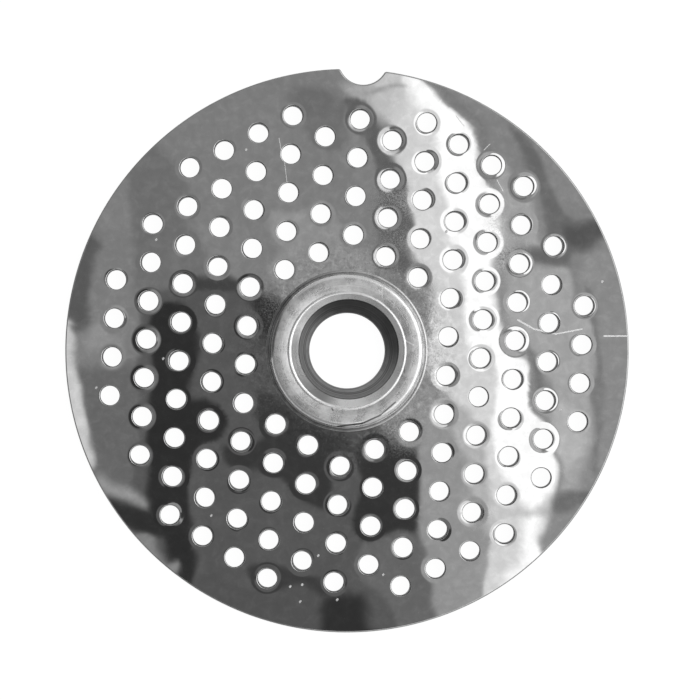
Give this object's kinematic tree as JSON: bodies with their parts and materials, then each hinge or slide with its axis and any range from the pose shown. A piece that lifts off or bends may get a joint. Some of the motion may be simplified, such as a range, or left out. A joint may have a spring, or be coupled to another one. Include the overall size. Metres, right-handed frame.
{
  "type": "meat grinder plate",
  "caption": "Round perforated steel plate with a raised central hub, a bore for the grinder's stud and a locating notch in the rim.",
  "frame": {"origin": "on the axis of the bore, in the flat cutting face", "axes": "+Z along the bore's axis, from the cutting face to the hub; +Y to the locating notch in the rim"},
  "size_m": [0.062, 0.0619, 0.0047],
  "materials": {
    "polished_steel": "polished"
  },
  "bodies": {
    "root": {"grinder_plate": "polished_steel"}
  },
  "joints": []
}
